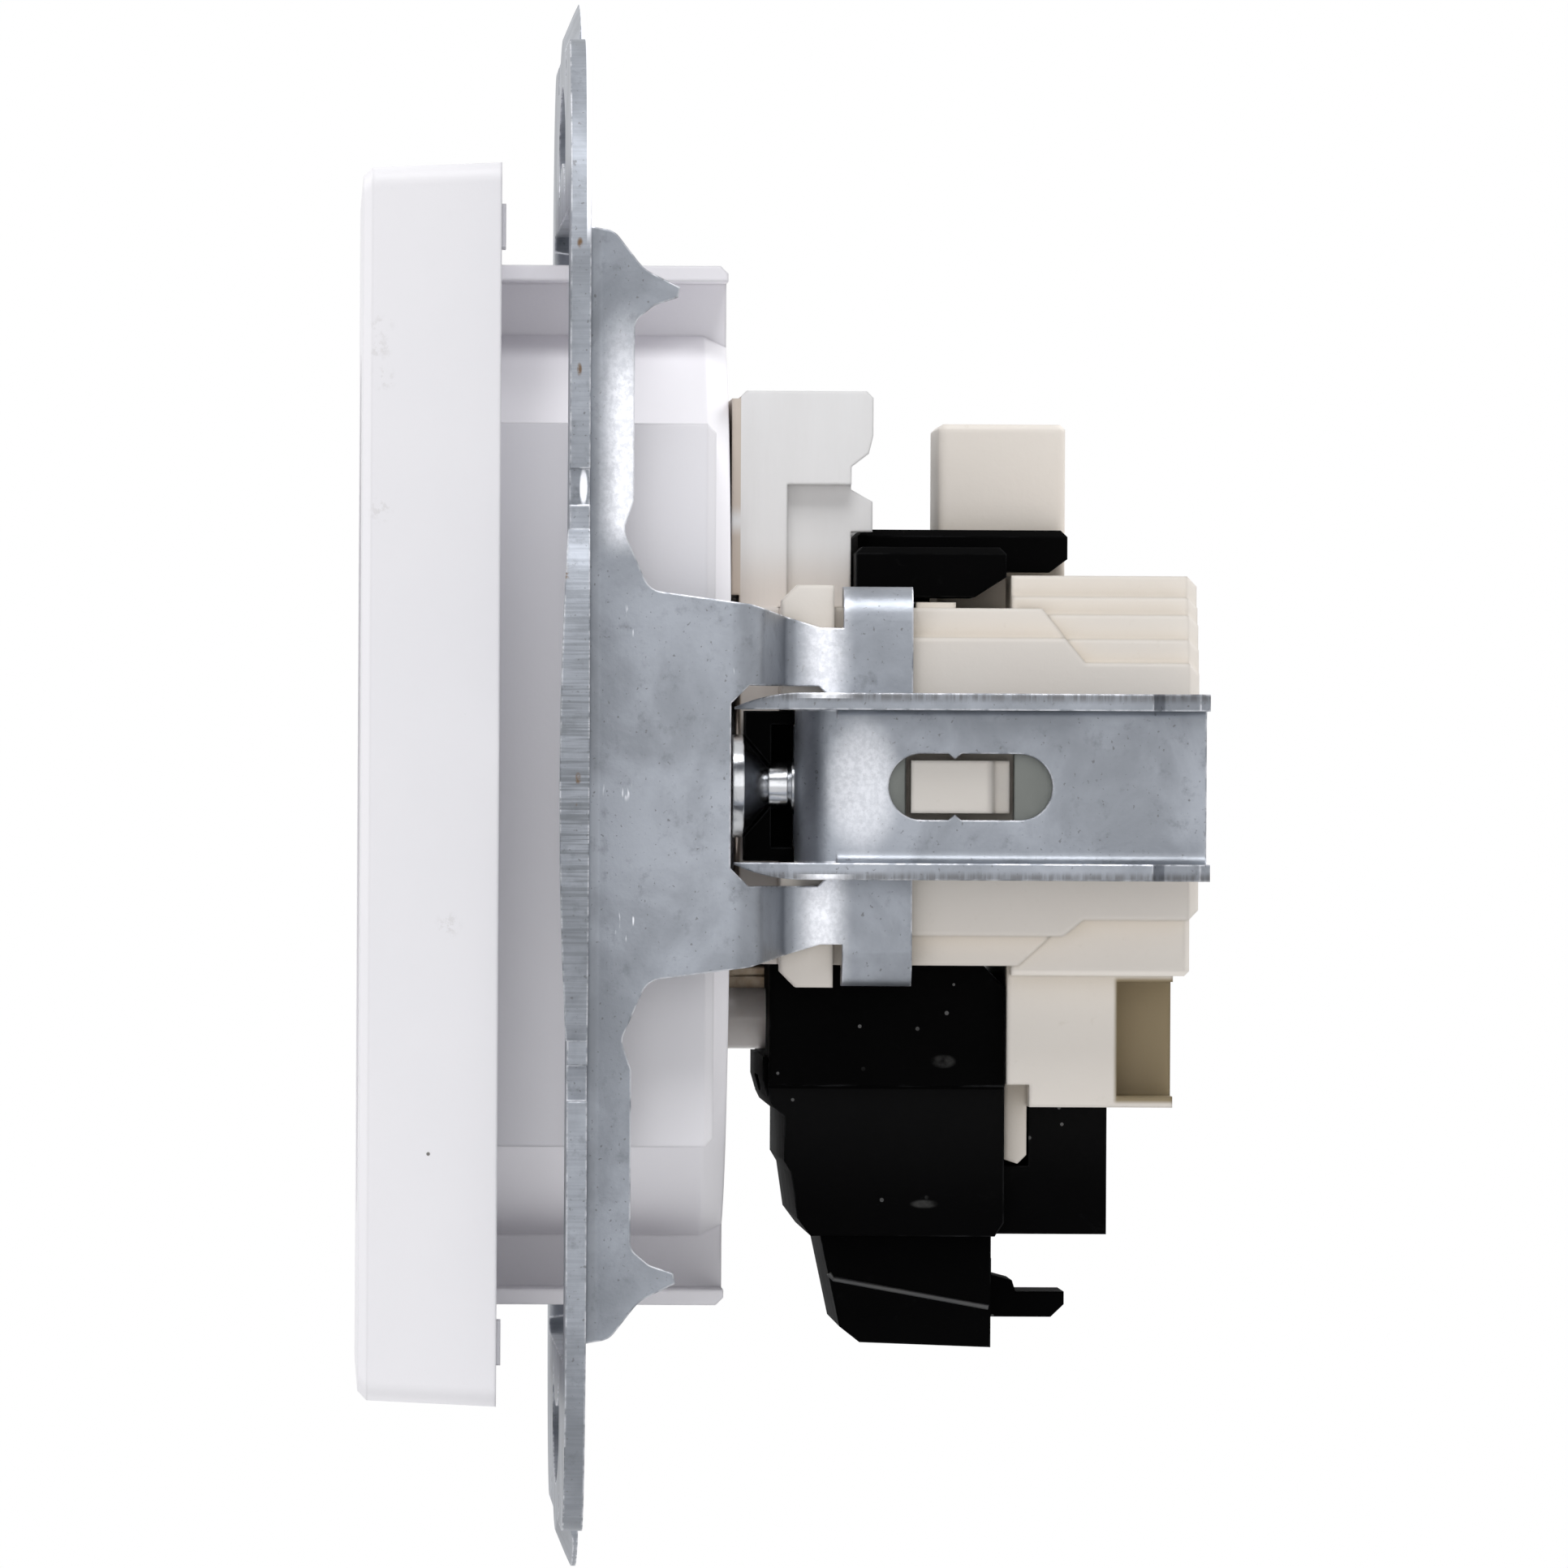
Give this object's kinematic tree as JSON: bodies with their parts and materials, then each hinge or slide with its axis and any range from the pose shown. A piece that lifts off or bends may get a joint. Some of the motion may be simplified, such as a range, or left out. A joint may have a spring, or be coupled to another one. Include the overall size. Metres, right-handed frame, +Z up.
{
  "type": "recessed socket outlet insert",
  "caption": "Recessed earthed two-pin socket outlet insert with square centre plate, steel support ring, spreader claws and a black surge protection module behind.",
  "frame": {"origin": "centre of the support ring on its rear face", "axes": "+X to the right seen from the room, +Y into the wall, +Z up"},
  "size_m": [0.071, 0.0377, 0.071],
  "materials": {
    "white_plastic": "satin moulded thermoplastic",
    "zinc_steel": "zinc plated sheet steel, mottled",
    "cream_plastic": "cream moulded thermoset",
    "cover_plastic": "off-white moulded plastic",
    "black_plastic": "glossy black moulded plastic",
    "screw_steel": "bright plated steel",
    "contact_brass": "bare brass strip",
    "earth_strip": "nickel plated brass strip",
    "pipe_plastic": "translucent clear plastic"
  },
  "bodies": {
    "housing": {"centre_plate": "white_plastic", "centre_screw": "screw_steel", "screw_insert": "contact_brass", "support_ring": "zinc_steel", "base": "cream_plastic", "contact_cover": "cover_plastic", "line_contact": "contact_brass", "neutral_contact": "contact_brass", "earth_strap": "earth_strip", "screw_guide_right": "black_plastic", "screw_guide_left": "black_plastic", "module_housing": "black_plastic", "module_lid": "black_plastic", "module_board": "black_plastic", "light_pipe": "pipe_plastic"},
    "screw_right": {"claw_screw_right": "screw_steel"},
    "claw_right": {"claw_right": "zinc_steel"},
    "screw_left": {"claw_screw_left": "screw_steel"},
    "claw_left": {"claw_left": "zinc_steel"},
    "lever_right": {"release_lever_right": "black_plastic"},
    "lever_left": {"release_lever_left": "black_plastic"},
    "lever_earth": {"release_lever_earth": "black_plastic"}
  },
  "joints": [
    {"name": "claw_screw_turn_right", "type": "hinge", "parent": "housing", "child": "screw_right", "pos_m": [0.0179, 0.0085, 0], "axis": [0, 1, 0], "range_deg": [0, 436]},
    {"name": "claw_swing_right", "type": "hinge", "parent": "housing", "child": "claw_right", "pos_m": [0.015, 0.0097, 0], "axis": [0, 0, -1], "range_deg": [0, 12]},
    {"name": "claw_screw_turn_left", "type": "hinge", "parent": "housing", "child": "screw_left", "pos_m": [-0.0179, 0.0085, 0], "axis": [0, 1, 0], "range_deg": [0, 436]},
    {"name": "claw_swing_left", "type": "hinge", "parent": "housing", "child": "claw_left", "pos_m": [-0.015, 0.0097, 0], "axis": [0, 0, 1], "range_deg": [0, 12]},
    {"name": "lever_press_right", "type": "hinge", "parent": "housing", "child": "lever_right", "pos_m": [0, 0.01375, 0.0086], "axis": [-1, 0, 0], "range_deg": [0, 5], "stiffness_Nm_per_rad": 0.02, "springref_deg": -11.46},
    {"name": "lever_press_left", "type": "hinge", "parent": "housing", "child": "lever_left", "pos_m": [0, 0.01375, 0.0086], "axis": [-1, 0, 0], "range_deg": [0, 5], "stiffness_Nm_per_rad": 0.02, "springref_deg": -11.46},
    {"name": "lever_press_earth", "type": "hinge", "parent": "housing", "child": "lever_earth", "pos_m": [0, 0.01375, 0.0086], "axis": [-1, 0, 0], "range_deg": [0, 4], "stiffness_Nm_per_rad": 0.02, "springref_deg": -11.46}
  ],
  "couplings": [
    {"joint": "claw_screw_turn_right", "follows": "claw_swing_right", "ratio": 36.2},
    {"joint": "claw_screw_turn_left", "follows": "claw_swing_left", "ratio": 36.2}
  ]
}
